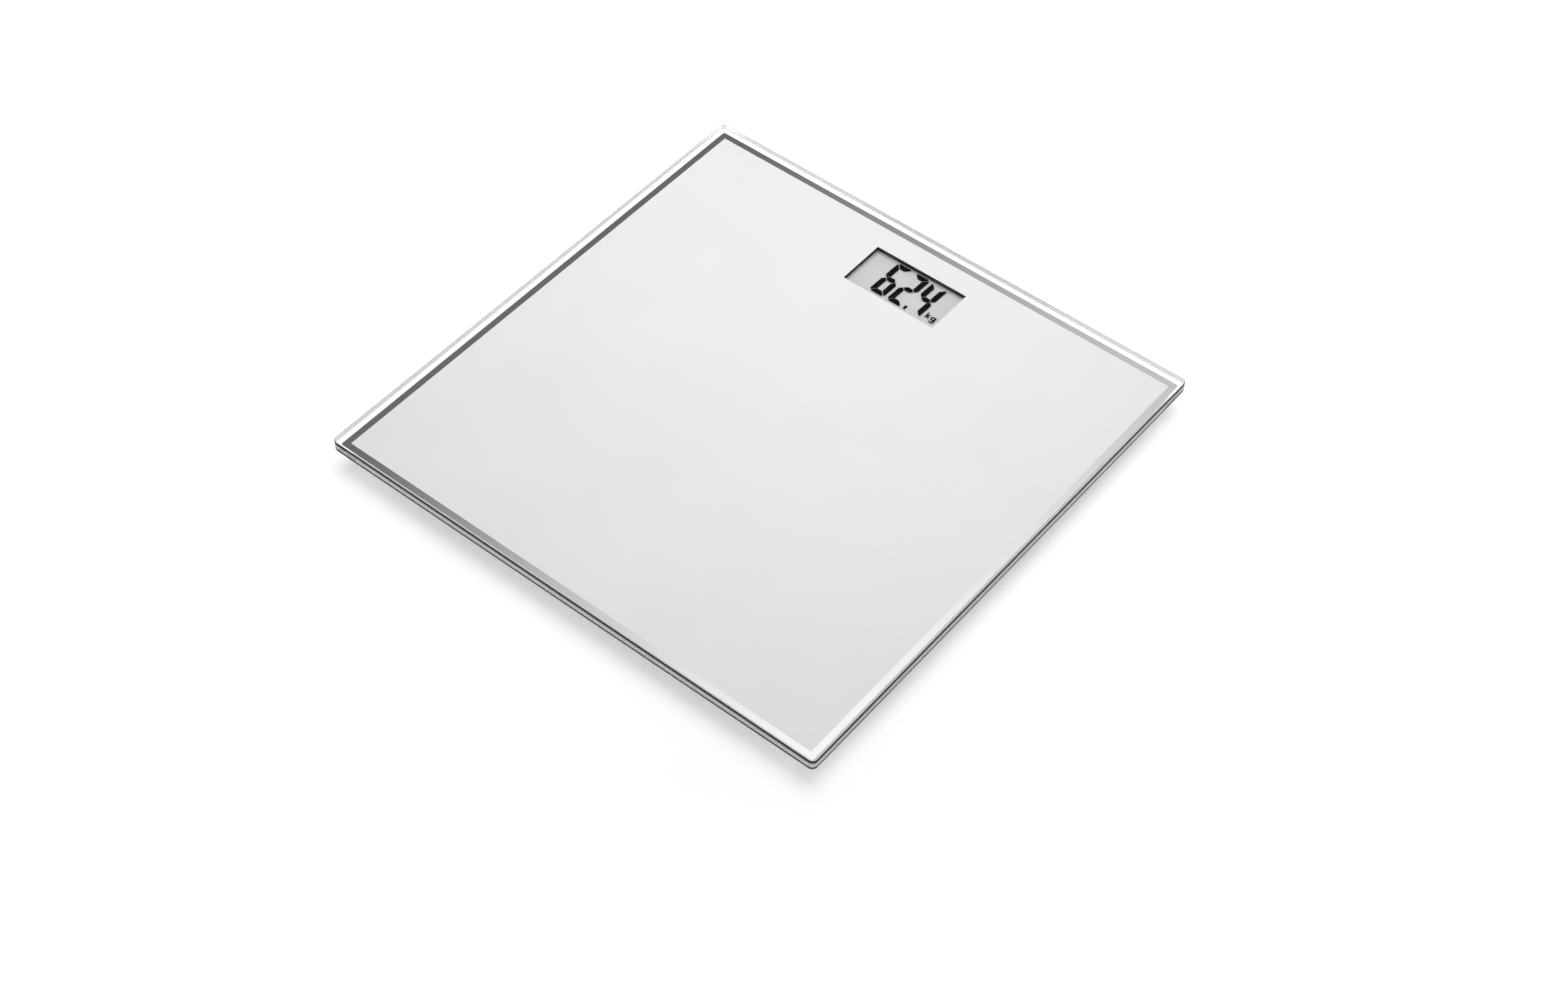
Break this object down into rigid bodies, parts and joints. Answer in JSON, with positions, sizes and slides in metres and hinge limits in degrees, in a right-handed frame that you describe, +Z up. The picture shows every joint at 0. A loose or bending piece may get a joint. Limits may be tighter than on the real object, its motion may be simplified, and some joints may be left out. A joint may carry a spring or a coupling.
{
  "type": "digital personal scale",
  "caption": "Square glass floor scale with a light grey field, a silver mirror band, a digital display near the rear edge, and four load-cell feet.",
  "frame": {"origin": "centre of the plane that the four foot pads stand on", "axes": "+Z up through the glass, +Y to the rear edge where the display is, +X to the right of a person reading it"},
  "size_m": [0.3, 0.3, 0.018],
  "materials": {
    "clear_glass": "polished clear float glass",
    "field_print": "even light grey screen print",
    "mirror_film": "silvered, flat",
    "foam_tape": "matt foam",
    "black_plastic": "fine moulded texture",
    "white_plastic": "fine moulded texture",
    "grey_plastic": "satin moulded",
    "screw_steel": "zinc plated",
    "lcd_glass": "polished",
    "lcd_seal": "matt",
    "lcd_black": "dense black",
    "lcd_reflector": "pale grey, faintly silvery",
    "black_foam": "open foam",
    "elastomer": "striped silicone rubber",
    "circuit_board": "green solder mask",
    "epoxy": "cured black epoxy",
    "components": "ceramic with tinned ends",
    "switch_steel": "stamped",
    "switch_plastic": "matt",
    "cell_steel": "nickel plated",
    "contact_brass": "spring brass",
    "cell_plate_steel": "stamped alloy steel",
    "gauge_coating": "white silicone coating",
    "pad_rubber": "matt with two moulded rings",
    "wire_sleeve": "soft PVC"
  },
  "bodies": {
    "root": {"glass_platform": "clear_glass", "printed_field": "field_print", "mirror_border": "mirror_film", "housing_tape": "foam_tape", "display_housing": "black_plastic", "bottom_cover": "black_plastic", "cover_screws": "screw_steel", "lcd_front_glass": "lcd_glass", "lcd_rear_glass": "lcd_glass", "lcd_seal": "lcd_seal", "lcd_segments": "lcd_black", "lcd_reflector": "lcd_reflector", "lcd_foam": "black_foam", "zebra_connector": "elastomer", "main_pcb": "circuit_board", "chip_blob": "epoxy", "pcb_components": "components", "unit_switch_body": "switch_steel", "coin_cell": "cell_steel", "battery_contact_positive": "contact_brass", "battery_contact_negative": "contact_brass", "wire_duct_left": "white_plastic", "wire_duct_right": "white_plastic", "foot_tape_front_left": "foam_tape", "foot_housing_front_left": "white_plastic", "load_cell_front_left": "cell_plate_steel", "strain_gauge_front_left": "gauge_coating", "lead_front_left": "wire_sleeve", "foot_tape_front_right": "foam_tape", "foot_housing_front_right": "white_plastic", "load_cell_front_right": "cell_plate_steel", "strain_gauge_front_right": "gauge_coating", "lead_front_right": "wire_sleeve", "foot_tape_rear_left": "foam_tape", "foot_housing_rear_left": "white_plastic", "load_cell_rear_left": "cell_plate_steel", "strain_gauge_rear_left": "gauge_coating", "lead_rear_left": "wire_sleeve", "foot_tape_rear_right": "foam_tape", "foot_housing_rear_right": "white_plastic", "load_cell_rear_right": "cell_plate_steel", "strain_gauge_rear_right": "gauge_coating", "lead_rear_right": "wire_sleeve"},
    "battery_cover": {"battery_cover": "black_plastic"},
    "unit_button": {"unit_button": "grey_plastic", "switch_plunger": "switch_plastic"},
    "foot_front_left": {"foot_front_left": "grey_plastic", "foot_pad_front_left": "pad_rubber"},
    "foot_front_right": {"foot_front_right": "grey_plastic", "foot_pad_front_right": "pad_rubber"},
    "foot_rear_left": {"foot_rear_left": "grey_plastic", "foot_pad_rear_left": "pad_rubber"},
    "foot_rear_right": {"foot_rear_right": "grey_plastic", "foot_pad_rear_right": "pad_rubber"}
  },
  "joints": [
    {"name": "battery_cover_slide", "type": "slide", "parent": "root", "child": "battery_cover", "axis": [0, 1, 0], "range_m": [0, 0.034]},
    {"name": "unit_button_press", "type": "slide", "parent": "root", "child": "unit_button", "axis": [0, 0, 1], "range_m": [0, 0.0004], "stiffness_N_per_m": 3000, "springref_m": -0.0001},
    {"name": "foot_front_left_travel", "type": "slide", "parent": "root", "child": "foot_front_left", "axis": [0, 0, 1], "range_m": [0, 0.0005], "stiffness_N_per_m": 2000, "springref_m": -0.004, "deforming": ["load_cell_front_left"]},
    {"name": "foot_front_right_travel", "type": "slide", "parent": "root", "child": "foot_front_right", "axis": [0, 0, 1], "range_m": [0, 0.0005], "stiffness_N_per_m": 2000, "springref_m": -0.004, "deforming": ["load_cell_front_right"]},
    {"name": "foot_rear_left_travel", "type": "slide", "parent": "root", "child": "foot_rear_left", "axis": [0, 0, 1], "range_m": [0, 0.0005], "stiffness_N_per_m": 2000, "springref_m": -0.004, "deforming": ["load_cell_rear_left"]},
    {"name": "foot_rear_right_travel", "type": "slide", "parent": "root", "child": "foot_rear_right", "axis": [0, 0, 1], "range_m": [0, 0.0005], "stiffness_N_per_m": 2000, "springref_m": -0.004, "deforming": ["load_cell_rear_right"]}
  ]
}
